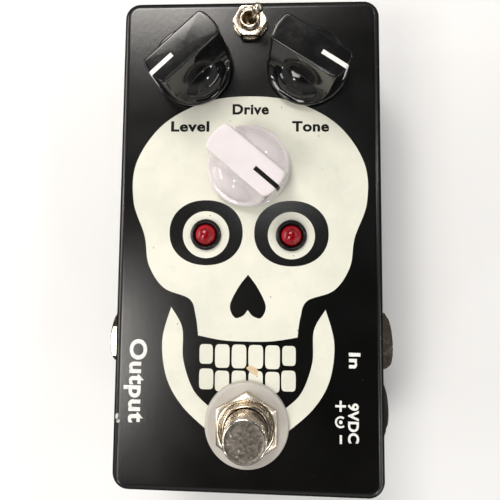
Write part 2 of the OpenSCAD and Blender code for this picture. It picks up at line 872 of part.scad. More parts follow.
footswitch_spring();
footswitch_terminals();
on_side(1, jack_y) jack_frame();  // input_jack_frame
on_side(1, jack_y) jack_bushing();  // input_jack_bushing
on_side(1, jack_y) jack_washer();  // input_jack_washer
on_side(1, jack_y) jack_nut();  // input_jack_nut
on_side(1, jack_y) jack_tip();  // input_jack_tip
on_side(-1, jack_y) jack_frame();  // output_jack_frame
on_side(-1, jack_y) jack_bushing();  // output_jack_bushing
on_side(-1, jack_y) jack_washer();  // output_jack_washer
on_side(-1, jack_y) jack_nut();  // output_jack_nut
on_side(-1, jack_y) jack_tip();  // output_jack_tip
on_side(1, dc_y) dc_jack_body();
on_side(1, dc_y) dc_jack_nut();
on_side(1, dc_y) dc_jack_pin();
hookup_wires();
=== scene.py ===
import json
import math

import bpy
from mathutils import Euler, Matrix, Vector


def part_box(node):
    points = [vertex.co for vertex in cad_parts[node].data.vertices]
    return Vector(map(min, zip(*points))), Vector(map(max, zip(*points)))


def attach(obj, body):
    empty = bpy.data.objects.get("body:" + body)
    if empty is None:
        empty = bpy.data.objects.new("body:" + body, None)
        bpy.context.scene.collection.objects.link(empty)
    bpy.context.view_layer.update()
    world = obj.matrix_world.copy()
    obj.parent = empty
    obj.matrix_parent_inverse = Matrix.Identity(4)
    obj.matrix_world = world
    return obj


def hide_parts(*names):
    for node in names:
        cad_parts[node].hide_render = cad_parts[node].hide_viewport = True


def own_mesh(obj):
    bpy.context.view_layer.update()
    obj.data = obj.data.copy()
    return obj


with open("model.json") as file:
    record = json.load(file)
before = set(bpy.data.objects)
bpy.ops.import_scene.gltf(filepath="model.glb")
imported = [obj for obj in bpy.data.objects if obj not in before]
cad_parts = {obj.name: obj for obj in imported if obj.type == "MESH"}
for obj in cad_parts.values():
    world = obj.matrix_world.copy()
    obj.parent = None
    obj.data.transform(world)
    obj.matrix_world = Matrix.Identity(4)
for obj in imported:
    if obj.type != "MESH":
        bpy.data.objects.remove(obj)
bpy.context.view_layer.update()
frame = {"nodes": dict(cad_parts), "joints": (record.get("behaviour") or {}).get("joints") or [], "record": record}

# Lengths in the piece functions are millimetres; MM turns them into the frame's metres.
MM = 0.001
JOINTS = {j["name"]: j for j in frame["joints"]}


def centre(node):
    """The middle of a CAD node's box."""
    low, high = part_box(node)
    return (low + high) / 2


def spans(node):
    """The sizes of a CAD node's box in millimetres."""
    low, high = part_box(node)
    return (high - low) / MM


# The printed layers' thickness
INK = 0.03

# Enclosure: the heights of the control face and of the lower edge in metres, then the lean of
# the walls over their height, the radii of the upright corners and of the top edge, and the wall
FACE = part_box("footswitch_washer")[0].z
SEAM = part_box("enclosure_shell")[0].z
DRAFT = 0.6
CORNER_R = 4.0
EDGE_R = 2.0
WALL = 2.2

# Knobs, in heights above the face. The top stays one layer of ink lower than the CAD's.
KNOB_R = 10.0
KNOB_GAP = 1.2
RIM_TOP = 2.5
KNOB_TOP = (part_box("level_knob")[1].z - FACE) / MM - INK
KNOB_TOP_R = 9.1
# The grip bar: half its width, the radii of its upright corners and of its top edge, and how far
# its top falls from the middle to the edge
BAR_HALF = 3.5
BAR_CORNER = 1.3
BAR_EDGE = 0.45
CROWN = 0.06
# The domed skirt, and the spaces for the pot's nut and for the brass insert
DOME_R = 8.9
DOME_TOP = 8.2
NUT_SPACE_R = 6.6
NUT_SPACE_TOP = 4.9
INSERT_R = 4.02
INSERT_TOP = 9.62
SET_SCREW_R = 1.52
SET_SCREW_Z = 7.2

# The LED holders' flange, and the places of the two LEDs
BEZEL_R = 3.8
EYE_X = (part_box("led_bezels")[1].x - BEZEL_R * MM) / MM
EYE_Y = centre("led_bezels").y / MM

# Light: the room's strength, and in watts the main and side panels overhead, the low panels at
# both sides, the soft fill and each small lamp
ROOM = 0.50
KEY = 6.4
SIDE = 2.4
LOW = 5.0
FILL = 0.4
SPOT = 0.22
WARM = (1.0, 0.96, 0.91)
DAYLIGHT = (1.0, 0.97, 0.92)


# Mesh building

SHARP = 32.0


def upright(x, y, z, turn=0.0):
    """From millimetres about an upright axis to the frame; turn is anticlockwise degrees."""
    return (Matrix.Translation((x, y, z)) @ Matrix.Rotation(math.radians(turn), 4, "Z")
            @ Matrix.Scale(MM, 4))


def out_of_wall(side, x, y, z):
    """From millimetres along an axis that points out of a side wall."""
    return (Matrix.Translation((x, y, z)) @ Matrix.Rotation(side * math.pi / 2, 4, "Y")
            @ Matrix.Scale(MM, 4))


def add(name, data):
    """A new object in the scene."""
    piece = bpy.data.objects.new(name, data)
    bpy.context.scene.collection.objects.link(piece)
    return piece


def finish_mesh(name, verts, faces, material, sharp=SHARP):
    """A piece with smooth shading that breaks at edges sharper than an angle in degrees."""
    mesh = bpy.data.meshes.new(name)
    mesh.from_pydata(verts, [], faces)
    mesh.validate()
    mesh.update()
    mesh.shade_smooth()
    mesh.set_sharp_from_angle(angle=math.radians(sharp))
    mesh.materials.append(material)
    piece = add(name, mesh)
    piece.modifiers.new("even_normals", "WEIGHTED_NORMAL").keep_sharp = True
    return piece


def ring_faces(count, size, loop, start):
    """Quads between rings, with the ends either joined to each other or capped."""
    faces = []
    for k in range(count if loop else count - 1):
        a, b = start + k * size, start + (k + 1) % count * size
        faces += [(a + i, a + (i + 1) % size, b + (i + 1) % size, b + i) for i in range(size)]
    if not loop:
        faces.append(tuple(start + i for i in reversed(range(size))))
        faces.append(tuple(start + (count - 1) * size + i for i in range(size)))
    return faces


def solid(name, rings, places, material, loop=False, sharp=SHARP):
    """A closed solid through rings of points, repeated at each place."""
    verts, faces = [], []
    size = len(rings[0])
    for place in places if isinstance(places, list) else [places]:
        faces += ring_faces(len(rings), size, loop, len(verts))
        verts += [place @ Vector(p) for ring in rings for p in ring]
    return finish_mesh(name, verts, faces, material, sharp)


def ring(radius, height, size=96):
    """One ring; radius and height are numbers or functions of the angle."""
    points = []
    for i in range(size):
        a = 2 * math.pi * i / size
        r = radius(a) if callable(radius) else radius
        z = height(a) if callable(height) else height
        points.append((r * math.cos(a), r * math.sin(a), z))
    return points


def rounded(profile, radius, closed, steps=4):
    """A profile of (radius, height) points with its corners rounded."""
    out = []
    n = len(profile)
    for i, point in enumerate(profile):
        if not closed and i in (0, n - 1):
            out.append(point)
            continue
        p = Vector(point)
        before, after = Vector(profile[i - 1]) - p, Vector(profile[(i + 1) % n]) - p
        reach = min(radius, 0.45 * before.length, 0.45 * after.length)
        a, b = p + before.normalized() * reach, p + after.normalized() * reach
        for k in range(steps + 1):
            t = k / steps
            q = a * (1 - t) ** 2 + p * 2 * t * (1 - t) + b * t ** 2
            out.append((q.x, q.y))
    return out


def lathe(name, profile, places, material, edge, size=96):
    """A turned ring with the given section, its corners rounded by edge."""
    rings = [ring(r, z, size) for r, z in rounded(profile, edge, True)]
    return solid(name, rings, places, material, loop=True)


def hexagon(flats, turn=0.0):
    """Distance from the axis to a hexagon's side, by angle; a corner lies at turn degrees."""
    def radius(a):
        return flats / 2 / math.cos((a - math.radians(turn)) % (math.pi / 3) - math.pi / 6)
    return radius


def hex_nut(name, flats, bore, height, places, material, turn=0.0, crown=0.955, size=144):
    """A nut with chamfered bore ends. A cone cuts its top corners, outside crown x flats / 2."""
    side = hexagon(flats, turn)
    crown *= flats / 2
    lip = 0.12
    slope = math.tan(math.radians(30))

    def cone(r):
        return height - max(0.0, r - crown) * slope

    def brim(a):
        return min(crown + lip / 2, side(a) - 0.75 * lip)

    rings = [
        ring(bore, 0.3, size), ring(bore + 0.3, 0, size), ring(lambda a: side(a) - lip, 0, size),
        ring(side, lip, size), ring(side, lambda a: cone(side(a)) - lip / 2, size),
        ring(lambda a: side(a) - lip / 2, lambda a: cone(side(a)), size),
        ring(brim, lambda a: cone(brim(a)), size),
        ring(lambda a: min(crown, side(a)) - 1.2 * lip, height, size),
        ring(bore + 0.35, height, size), ring(bore + 0.1, height - 0.12, size),
        ring(bore, height - 0.4, size)]
    return solid(name, rings, places, material, loop=True)


def threaded_tube(name, radius, bore, low, high, pitch, places, material, mouth, size=96):
    """A bushing with a helical thread outside, a plain bore and a chamfered mouth."""
    depth = 0.32 * pitch
    steps = max(8, round((high - low) / pitch * 8))
    lead_in = 0.5 * pitch

    def thread(z):
        def radius_at(a):
            wave = 0.5 + 0.5 * math.cos(2 * math.pi * (z / pitch - a / (2 * math.pi)))
            fade = min(1.0, (high - z) / lead_in)
            return radius - depth * (1 - wave * max(fade, 0.0))
        return radius_at

    rings = [ring(thread(low + (high - low) * k / steps), low + (high - low) * k / steps, size)
             for k in range(steps + 1)]
    rings += [ring(radius - depth - 0.12, high, size), ring(bore + mouth, high, size),
              ring(bore + mouth * 0.4, high - mouth * 0.35, size),
              ring(bore, high - mouth, size), ring(bore, low, size)]
    return solid(name, rings, places, material, loop=True, sharp=40)


def cut_with(piece, cutters, added=()):
    """Joins the added shapes to a piece, takes the cutters' shapes out and removes both."""
    for operation, others in (("UNION", added), ("DIFFERENCE", cutters)):
        for other in others:
            step = piece.modifiers.new("shape", "BOOLEAN")
            step.operation = operation
            step.solver = "EXACT"
            step.object = other
    piece.modifiers.remove(piece.modifiers["even_normals"])
    bpy.context.view_layer.update()
    shown = piece.evaluated_get(bpy.context.evaluated_depsgraph_get())
    mesh = bpy.data.meshes.new_from_object(shown)
    old = piece.data
    piece.modifiers.clear()
    piece.data = mesh
    bpy.data.meshes.remove(old)
    for other in (*added, *cutters):
        bpy.data.objects.remove(other)
    mesh.shade_smooth()
    mesh.set_sharp_from_angle(angle=math.radians(SHARP))
    piece.modifiers.new("even_normals", "WEIGHTED_NORMAL").keep_sharp = True


def cutter(radius, low, high, place, size=64):
    """A cylinder for cut_with."""
    return solid("cutter", [ring(radius, low, size), ring(radius, high, size)], place, PLAIN)


# Materials

SOCKETS = {"metal": "Metallic", "glow": "Subsurface Weight", "specular": "Specular IOR Level"}


class Surface:
    """A Principled material with helpers for the textures that drive it."""

    def __init__(self, name, color, roughness, **sockets):
        self.mat = bpy.data.materials.new(name)
        self.mat.use_nodes = True
        self.tree = self.mat.node_tree
        self.bsdf = next(n for n in self.tree.nodes if n.type == "BSDF_PRINCIPLED")
        self.bsdf.inputs["Base Color"].default_value = (*color, 1)
        self.bsdf.inputs["Roughness"].default_value = roughness
        for key, value in sockets.items():
            self.bsdf.inputs[SOCKETS[key]].default_value = value
        self.where = self.tree.nodes.new("ShaderNodeTexCoord").outputs["Object"]
        self.bump_from = None

    def link(self, a, b):
        self.tree.links.new(a, b)

    def noise(self, size, detail=3.0, rough=0.5):
        """Noise with features about size millimetres across."""
        node = self.tree.nodes.new("ShaderNodeTexNoise")
        node.inputs["Scale"].default_value = 1 / (size * MM)
        node.inputs["Detail"].default_value = detail
        node.inputs["Roughness"].default_value = rough
        self.link(self.where, node.inputs["Vector"])
        return node.outputs["Fac"]

    def specks(self, size, share):
        """Small spots, one cell in size millimetres, filling about share of each cell's width."""
        node = self.tree.nodes.new("ShaderNodeTexVoronoi")
        node.inputs["Scale"].default_value = 1 / (size * MM)
        self.link(self.where, node.inputs["Vector"])
        return self.ramp(node.outputs["Distance"], [(0.0, 1.0), (share, 1.0), (share * 1.6, 0.0)])

    def ramp(self, value, stops):
        """A value turned into levels or colours by (place, level) stops."""
        node = self.tree.nodes.new("ShaderNodeValToRGB")
        ramp = node.color_ramp
        while len(ramp.elements) < len(stops):
            ramp.elements.new(0.5)
        for element, (at, level) in zip(ramp.elements, stops):
            element.position = at
            color = level if isinstance(level, tuple) else (level,) * 3
            element.color = (*color, 1)
        self.link(value, node.inputs["Fac"])
        return node.outputs["Color"]

    def times(self, a, b):
        node = self.tree.nodes.new("ShaderNodeMath")
        node.operation = "MULTIPLY"
        self.link(a, node.inputs[0])
        self.link(b, node.inputs[1])
        return node.outputs[0]

    def mix(self, mask, a, b):
        """Colour a where the mask is 0 and b where it is 1."""
        node = self.tree.nodes.new("ShaderNodeMix")
        node.data_type = "RGBA"
        self.link(mask, node.inputs[0])
        for socket, value in ((node.inputs[6], a), (node.inputs[7], b)):
            if isinstance(value, tuple):
                socket.default_value = (*value, 1)
            else:
                self.link(value, socket)
        return node.outputs[2]

    def color(self, output):
        self.link(output, self.bsdf.inputs["Base Color"])

    def roughness(self, value, low, high):
        self.link(self.ramp(value, [(0.3, low), (0.7, high)]), self.bsdf.inputs["Roughness"])

    def scattering(self, radius, depth):
        """How far light spreads under the surface: a ratio for each colour, and millimetres."""
        self.bsdf.inputs["Subsurface Radius"].default_value = radius
        self.bsdf.inputs["Subsurface Scale"].default_value = depth * MM

    def bump(self, height, depth, strength=1.0):
        """Relief of the given depth in millimetres, added to any bump before it."""
        node = self.tree.nodes.new("ShaderNodeBump")
        node.inputs["Strength"].default_value = strength
        node.inputs["Distance"].default_value = depth * MM
        self.link(height, node.inputs["Height"])
        if self.bump_from is not None:
            self.link(self.bump_from, node.inputs["Normal"])
        self.bump_from = node.outputs["Normal"]
        self.link(self.bump_from, self.bsdf.inputs["Normal"])

    def from_axis(self, x, y, both_sides=False):
        """Distance in millimetres from an upright axis, or from that axis and its mirror image."""
        at = self.where
        if both_sides:
            at = self.vector("MULTIPLY", self.vector("ABSOLUTE", at), (1, math.copysign(1, y), 1))
        shift = self.vector("SUBTRACT", at, (x, y, 0))
        return self.vector("LENGTH", self.vector("MULTIPLY", shift, (1 / MM, 1 / MM, 0)))

    def scaled(self, value, low, high):
        """The value's place between low and high, held to 0 and 1."""
        node = self.tree.nodes.new("ShaderNodeMapRange")
        node.inputs["From Min"].default_value = low
        node.inputs["From Max"].default_value = high
        self.link(value, node.inputs["Value"])
        return node.outputs["Result"]

    def above(self, z, soft):
        """1 above a height and 0 below it."""
        split = self.tree.nodes.new("ShaderNodeSeparateXYZ")
        self.link(self.where, split.inputs[0])
        return self.scaled(split.outputs["Z"], z, z + soft)

    def vector(self, operation, value, by=(0, 0, 0)):
        """A vector operation on a value with a fixed second vector."""
        node = self.tree.nodes.new("ShaderNodeVectorMath")
        node.operation = operation
        node.inputs[1].default_value = by
        self.link(value, node.inputs[0])
        return node.outputs["Value" if operation == "LENGTH" else "Vector"]

    def chips(self, base):
        """Small oval places where the finish is knocked off, with ragged edges."""
        for x, y, turn, half_x, half_y, color in CHIPS:
            spin = self.tree.nodes.new("ShaderNodeVectorRotate")
            spin.rotation_type = "Z_AXIS"
            spin.inputs["Angle"].default_value = math.radians(-turn)
            self.link(self.vector("SUBTRACT", self.where, (x * MM, y * MM, FACE)),
                      spin.inputs["Vector"])
            oval = self.vector("MULTIPLY", spin.outputs[0],
                               (1 / (half_x * MM), 1 / (half_y * MM), 0.5 / MM))
            ragged = self.tree.nodes.new("ShaderNodeMath")
            ragged.operation = "MULTIPLY_ADD"
            self.link(self.noise(1.1, 3), ragged.inputs[0])
            ragged.inputs[1].default_value = 0.8
            self.link(self.vector("LENGTH", oval), ragged.inputs[2])
            base = self.mix(self.scaled(ragged.outputs[0], 1.45, 1.36), base, color)
        return base


# Each chip's place, turn in degrees, half sizes and colour
CHIPS = [(1.3, -31.0, -32, 1.55, 0.8, (0.66, 0.51, 0.33)),
         (-31.3, -42.6, 70, 0.7, 0.4, (0.55, 0.54, 0.52)),
         (-30.9, -43.7, 40, 0.5, 0.35, (0.45, 0.44, 0.42))]


def black_paint():
    """Satin black paint with dust and chips."""
    s = Surface("black_paint", (0.012, 0.012, 0.013), 0.34, specular=0.55)
    dust = s.times(s.specks(1.9, 0.03), s.ramp(s.noise(9, 4), [(0.52, 0.0), (0.62, 1.0)]))
    base = s.ramp(s.noise(24, 5), [(0.3, (0.0012, 0.0012, 0.0012)),
                                   (0.7, (0.0028, 0.0027, 0.0026))])
    s.color(s.chips(s.mix(dust, base, (0.09, 0.09, 0.085))))
    s.roughness(s.noise(14, 4, 0.5), 0.20, 0.26)
    s.bump(s.noise(1.1, 2), 0.010)
    s.bump(s.noise(0.16, 2), 0.0018)
    return s.mat


def cream_print():
    """Cream ink, a little stained and dirty."""
    s = Surface("cream_print", (0.76, 0.74, 0.64), 0.5, specular=0.35)
    stain = s.ramp(s.noise(13, 6, 0.62), [(0.34, (0.685, 0.69, 0.595)),
                                          (0.60, (0.775, 0.765, 0.665))])
    smudge = s.ramp(s.noise(5.0, 5, 0.7), [(0.56, 0.0), (0.85, 0.5)])
    grey = s.mix(smudge, stain, (0.55, 0.56, 0.49))
    dirt = s.times(s.specks(2.4, 0.045), s.ramp(s.noise(7, 3), [(0.50, 0.0), (0.56, 1.0)]))
    s.color(s.chips(s.mix(dirt, grey, (0.09, 0.08, 0.06))))
    s.roughness(s.noise(4, 4), 0.42, 0.58)
    s.bump(s.noise(0.9, 2), 0.01)
    return s.mat


def ink(name, color):
    """Plain ink for the lettering and the pointer lines."""
    s = Surface(name, color, 0.5, specular=0.15)
    s.color(s.ramp(s.noise(0.8, 4), [(0.35, tuple(c * 0.85 for c in color)), (0.6, color)]))
    s.bump(s.noise(0.25, 2), 0.004)
    return s.mat


def knob_finish(s, sides, top):
    """Glossy sides and a duller top, each given as a noise and its least and most roughness."""
    sides, top = (s.ramp(noise, [(0.3, low), (0.7, high)]) for noise, low, high in (sides, top))
    on_top = s.above(FACE + (KNOB_TOP - CROWN - 0.12) * MM, 0.1 * MM)
    s.link(s.mix(on_top, sides, top), s.bsdf.inputs["Roughness"])
    s.bump(s.noise(2.6, 2), 0.008)


def black_plastic():
    """Glossy black, with lint on the hazy places."""
    s = Surface("black_knob", (0.010, 0.010, 0.011), 0.12, specular=0.5)
    haze = s.ramp(s.noise(5, 6, 0.65), [(0.45, 0.0), (0.75, 1.0)])
    lint = s.times(s.specks(1.5, 0.03), haze)
    base = s.mix(haze, (0.006, 0.006, 0.0065), (0.014, 0.0135, 0.013))
    s.color(s.mix(lint, base, (0.14, 0.13, 0.12)))
    knob_finish(s, (s.noise(4, 6, 0.6), 0.04, 0.10), (s.noise(5, 6, 0.65), 0.12, 0.22))
    return s.mat


def white_plastic():
    """Off-white with a pink cast, and a few smears."""
    s = Surface("white_knob", (0.72, 0.66, 0.67), 0.3, glow=0.08, specular=0.5)
    s.scattering((1.0, 0.6, 0.5), 0.5)
    base = s.ramp(s.noise(6, 5), [(0.3, (0.69, 0.635, 0.645)), (0.7, (0.745, 0.69, 0.70))])
    smear = s.times(s.specks(2.2, 0.05), s.ramp(s.noise(5, 3), [(0.54, 0.0), (0.62, 1.0)]))
    s.color(s.mix(smear, base, (0.38, 0.32, 0.31)))
    knob_finish(s, (s.noise(3, 4), 0.05, 0.11), (s.noise(3, 4), 0.30, 0.42))
    return s.mat


def nickel():
    """Nickel plate gone warm and uneven."""
    s = Surface("nickel", (0.80, 0.73, 0.62), 0.2, metal=1.0)
    s.color(s.ramp(s.noise(3.0, 5, 0.6), [(0.3, (0.60, 0.51, 0.39)), (0.5, (0.70, 0.62, 0.51)),
                                         (0.75, (0.80, 0.75, 0.66))]))
    s.roughness(s.noise(1.4, 4), 0.20, 0.30)
    s.bump(s.noise(0.8, 2), 0.0015)
    return s.mat


def worn_steel():
    """The plunger: bright turned sides and rim, and a scuffed grey top with painted glints."""
    c, top = centre("footswitch_plunger"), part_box("footswitch_plunger")[1].z
    s = Surface("worn_steel", (0.66, 0.62, 0.57), 0.24, metal=1.0)
    inside = s.scaled(s.from_axis(c.x, c.y), 4.62, 4.5)
    worn = s.times(inside, s.above(top - 0.3 * MM, 0.1 * MM))
    side = s.ramp(s.noise(1.8, 5), [(0.3, (0.50, 0.43, 0.35)), (0.7, (0.78, 0.74, 0.68))])
    scuff = s.ramp(s.noise(0.75, 9, 0.75), [(0.34, (0.13, 0.115, 0.10)),
                                            (0.5, (0.29, 0.26, 0.225)),
                                            (0.66, (0.50, 0.46, 0.40))])
    # Painted highlights: small bright specks in the worn top's colour stand for glints
    painted_glint = s.times(s.specks(1.3, 0.13), s.ramp(s.noise(2.2, 2), [(0.46, 0.0), (0.52, 1.0)]))
    s.color(s.mix(worn, side, s.mix(painted_glint, scuff, (0.86, 0.80, 0.60))))
    rough = s.ramp(s.noise(0.8, 6, 0.7), [(0.3, 0.28), (0.7, 0.50)])
    s.link(s.mix(worn, (0.16, 0.16, 0.16), rough), s.bsdf.inputs["Roughness"])
    s.bump(s.noise(0.5, 5, 0.7), 0.014, 0.7)
    return s.mat


def nylon():
    """The footswitch's grey washer."""
    s = Surface("nylon", (0.50, 0.475, 0.455), 0.42, glow=0.15, specular=0.4)
    s.scattering((1.0, 0.9, 0.8), 0.6)
    s.color(s.ramp(s.noise(5, 5), [(0.3, (0.47, 0.44, 0.40)), (0.7, (0.54, 0.51, 0.47))]))
    s.roughness(s.noise(2, 4), 0.30, 0.46)
    s.bump(s.noise(0.5, 2), 0.004)
    return s.mat


def red_lens():
    """Deep red epoxy with painted shade and light in rings about each lens's axis, brightest near its rim."""
    s = Surface("red_lens", (0.25, 0.002, 0.006), 0.04, specular=0.5)
    out = s.scaled(s.from_axis(EYE_X * MM, EYE_Y * MM, both_sides=True), 0.0, 2.6)
    # Painted light: a darker middle and a bright ring near the rim stand for light falling through the dome
    painted_light_rings = s.ramp(out, [(0.0, (0.20, 0.001, 0.004)), (0.34, (0.26, 0.001, 0.005)),
                         (0.60, (0.20, 0.001, 0.004)), (0.84, (0.48, 0.012, 0.022)),
                         (1.0, (0.30, 0.004, 0.008))])
    cloudy = s.ramp(s.noise(0.9, 4), [(0.4, 0.0), (0.8, 0.2)])
    s.color(s.mix(cloudy, painted_light_rings, (0.30, 0.002, 0.005)))
    s.roughness(s.noise(0.8, 3), 0.02, 0.05)
    return s.mat


def glossy_black():
    """The LED holders' moulded plastic."""
    s = Surface("bezel_black", (0.008, 0.008, 0.008), 0.2, specular=0.3)
    s.color(s.ramp(s.noise(1.5, 4), [(0.35, (0.005, 0.005, 0.005)), (0.7, (0.012, 0.012, 0.012))]))
    s.roughness(s.noise(1.2, 4), 0.14, 0.3)
    return s.mat


def plain(name, color, roughness, grain=1.0, depth=0.006, **sockets):
    """A material with gentle colour variation and grain, for small parts."""
    s = Surface(name, color, roughness, **sockets)
    s.color(s.ramp(s.noise(grain * 3, 5), [(0.3, tuple(c * 0.8 for c in color)),
                                           (0.7, tuple(min(1.0, c * 1.12) for c in color))]))
    s.roughness(s.noise(grain, 4), roughness * 0.8, min(1.0, roughness * 1.2))
    s.bump(s.noise(grain * 0.5, 3), depth)
    return s.mat


def floor_paint():
    """A pale, slightly uneven table top."""
    s = Surface("floor", (0.86, 0.86, 0.86), 0.6)
    s.color(s.ramp(s.noise(60, 4), [(0.3, (0.85, 0.85, 0.852)), (0.7, (0.87, 0.87, 0.87))]))
    return s.mat


PLAIN = plain("cut_faces", (0.02, 0.02, 0.02), 0.5)
PAINT = black_paint()
CREAM = cream_print()
BLACK_INK = ink("black_ink", (0.004, 0.004, 0.004))
WHITE_INK = ink("white_ink", (0.86, 0.86, 0.83))
KNOB_BLACK = black_plastic()
KNOB_WHITE = white_plastic()
NICKEL = nickel()
PLUNGER = worn_steel()
NYLON = nylon()
LENS = red_lens()
BEZEL = glossy_black()
RUBBER = plain("foot_rubber", (0.022, 0.022, 0.022), 0.75, 0.5, 0.02)
ZINC = plain("zinc_steel", (0.62, 0.62, 0.63), 0.32, 0.8, metal=1.0)
ALUMINIUM = plain("shaft_aluminium", (0.74, 0.74, 0.76), 0.3, 0.6, metal=1.0)
BRASS = plain("brass", (0.76, 0.56, 0.26), 0.28, 0.8, metal=1.0)
MOULDED = plain("component_black", (0.02, 0.02, 0.02), 0.42, 0.6)
SLOT_MATERIALS = {
    "black_paint": PAINT, "black_knob": KNOB_BLACK, "white_knob": KNOB_WHITE,
    "bezel_black": BEZEL, "led_red": LENS, "nickel": NICKEL, "worn_steel": PLUNGER,
    "zinc_steel": ZINC, "shaft_aluminium": ALUMINIUM, "brass": BRASS, "nylon": NYLON,
    "foot_rubber": RUBBER, "component_black": MOULDED,
    "board_green": plain("board_green", (0.03, 0.2, 0.07), 0.35, 2.0),
    "resistor_beige": plain("resistor_beige", (0.72, 0.58, 0.40), 0.4),
    "capacitor_red": plain("capacitor_red", (0.5, 0.05, 0.04), 0.25),
    "switch_red": plain("switch_red", (0.5, 0.04, 0.04), 0.4),
    "switch_blue": plain("switch_blue", (0.03, 0.1, 0.36), 0.45),
    "wire_blue": plain("wire_blue", (0.06, 0.08, 0.4), 0.4),
}


def stand_for(piece, node, body="enclosure"):
    """A visible piece that replaces a CAD node and rides on its body."""
    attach(piece, body)
    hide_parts(node)


# Enclosure

def rounded_rectangle(half_x, half_y, corner, z, steps=10):
    """A rectangle's outline at a height, with round corners."""
    points = []
    for quarter, (sx, sy) in enumerate(((1, 1), (-1, 1), (-1, -1), (1, -1))):
        for k in range(steps + 1):
            a = math.pi / 2 * (quarter + k / steps)
            points.append((sx * (half_x - corner) + corner * math.cos(a),
                           sy * (half_y - corner) + corner * math.sin(a), z))
    return points


def box_rings(inset, low, high, edge, corner, lip):
    """Rings of the drafted box: a small round at the bottom and the top edge's round."""
    left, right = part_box("enclosure_shell")
    half_x, half_y = (right.x - left.x) / MM / 2 - inset, (right.y - left.y) / MM / 2 - inset
    levels = [(lip * (1 - math.sin(t)), low + lip * (1 - math.cos(t)))
              for t in (math.pi / 6 * k for k in range(4))]
    levels += [(0, low + (high - edge - low) * k / 4) for k in range(1, 4)]
    levels += [(edge * (1 - math.cos(t)), high - edge + edge * math.sin(t))
               for t in (math.pi / 20 * k for k in range(11))]
    rings = []
    for back, z in levels:
        lean = DRAFT * min(1.0, (z - low) / (high - edge - low))
        rings.append(rounded_rectangle(half_x - lean - back, half_y - lean - back,
                                       corner - back, z))
    return rings


def enclosure():
    """The drafted box, hollowed out, with its panel holes and the sockets' spot faces."""
    place = Matrix.Scale(MM, 4)
    low, top = SEAM / MM, FACE / MM
    shell = solid("enclosure_casting", box_rings(0, low, top, EDGE_R, CORNER_R, 0.25), place, PAINT)
    hollow = box_rings(WALL, low - 1, top - WALL, 1.0, CORNER_R - WALL, 0.0)[3:]
    cutters = [solid("cutter", hollow, place, PLAIN)]
    through = -2 * WALL
    for node, radius in (("level_pot", 3.6), ("drive_pot", 3.6), ("tone_pot", 3.6),
                         ("toggle_bushing", 2.45), ("footswitch_bushing", 6.05)):
        c = centre(node)
        cutters.append(cutter(radius, through, 1, upright(c.x, c.y, FACE)))
    for side in (-1, 1):
        cutters.append(cutter(3.2, through, 1, upright(side * EYE_X * MM, EYE_Y * MM, FACE)))
    for node, side, radius, spot_r in (("input_jack_bushing", 1, 4.8, 7.5),
                                       ("output_jack_bushing", -1, 4.8, 7.5),
                                       ("dc_jack_body", 1, 5.55, 8.8)):
        c = centre(node)
        outward = out_of_wall(side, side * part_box("input_jack_washer")[0].x, c.y, c.z)
        cutters.append(cutter(radius, through, 2, outward))
        cutters.append(cutter(spot_r, 0, 1, outward))
    cut_with(shell, cutters)
    stand_for(shell, "enclosure_shell")


# Print on the face: a plain skull pictogram and function labels

def smooth_loop(points, steps=10):
    """A closed Catmull-Rom curve. A point given twice in a row makes a corner."""
    out = []
    n = len(points)
    for i in range(n):
        p0, p1, p2, p3 = (Vector(points[(i + k) % n]) for k in (-1, 0, 1, 2))
        if (p1 - p2).length < 1e-6:
            continue
        for k in range(steps):
            t = k / steps
            q = 0.5 * (2 * p1 + (p2 - p0) * t + (2 * p0 - 5 * p1 + 4 * p2 - p3) * t ** 2
                       + (3 * p1 - p0 - 3 * p2 + p3) * t ** 3)
            out.append((q.x, q.y))
    return out


def mirrored(right):
    """A closed outline from its right half, listed from top to bottom."""
    left = [(-x, y) for x, y in reversed(right) if x != 0]
    return right + left


def ellipse(cx, cy, rx, ry, steps=72, power=2.0):
    """An ellipse; with a power over 2 it goes towards a rectangle."""
    points = []
    for k in range(steps):
        a = 2 * math.pi * k / steps
        c, s = math.cos(a), math.sin(a)
        points.append((cx + rx * math.copysign(abs(c) ** (2 / power), c),
                       cy + ry * math.copysign(abs(s) ** (2 / power), s)))
    return points


def as_mesh(curve_object, name, material):
    """Turns a filled curve or text into a mesh piece."""
    bpy.context.view_layer.update()
    shown = curve_object.evaluated_get(bpy.context.evaluated_depsgraph_get())
    mesh = bpy.data.meshes.new_from_object(shown)
    mesh.transform(curve_object.matrix_world)
    data = curve_object.data
    bpy.data.objects.remove(curve_object)
    bpy.data.curves.remove(data)
    mesh.materials.clear()
    mesh.materials.append(material)
    return add(name, mesh)


def layer(name, loops, material):
    """A thin printed layer with the given outlines; a loop inside another is a hole."""
    data = bpy.data.curves.new(name, "CURVE")
    data.dimensions = "2D"
    data.fill_mode = "BOTH"
    data.extrude = INK * MM / 2
    for loop in loops:
        spline = data.splines.new("POLY")
        spline.points.add(len(loop) - 1)
        spline.use_cyclic_u = True
        for point, (x, y) in zip(spline.points, loop):
            point.co = (x * MM, y * MM, 0, 1)
    drawn = add(name, data)
    drawn.location.z = FACE + 0.5 * INK * MM
    piece = as_mesh(drawn, name, material)
    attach(piece, "enclosure")


# The height of a capital letter as a share of the text size
CAPITALS = 0.72


def label(name, words, x, y, height, width, material, level=0, turn=0.0, *, weight):
    """A word of the given height and width, centred on a point of the face.

    The level is 0 on the paint and 1 on the cream print; the weight thickens the strokes.
    """
    data = bpy.data.curves.new(name, "FONT")
    data.body = words
    data.align_x = "CENTER"
    data.align_y = "CENTER"
    data.space_character = 1.08
    data.size = height * MM / CAPITALS
    data.bevel_depth = weight * MM
    data.bevel_resolution = 1
    text = add(name, data)
    bpy.context.view_layer.update()
    text.scale = (width * MM / text.dimensions.x, 1, INK / (2 * weight))
    text.rotation_euler = (0, 0, math.radians(turn))
    text.location = (x * MM, y * MM, FACE + (level + 0.5) * INK * MM)
    piece = as_mesh(text, name, material)
    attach(piece, "enclosure")


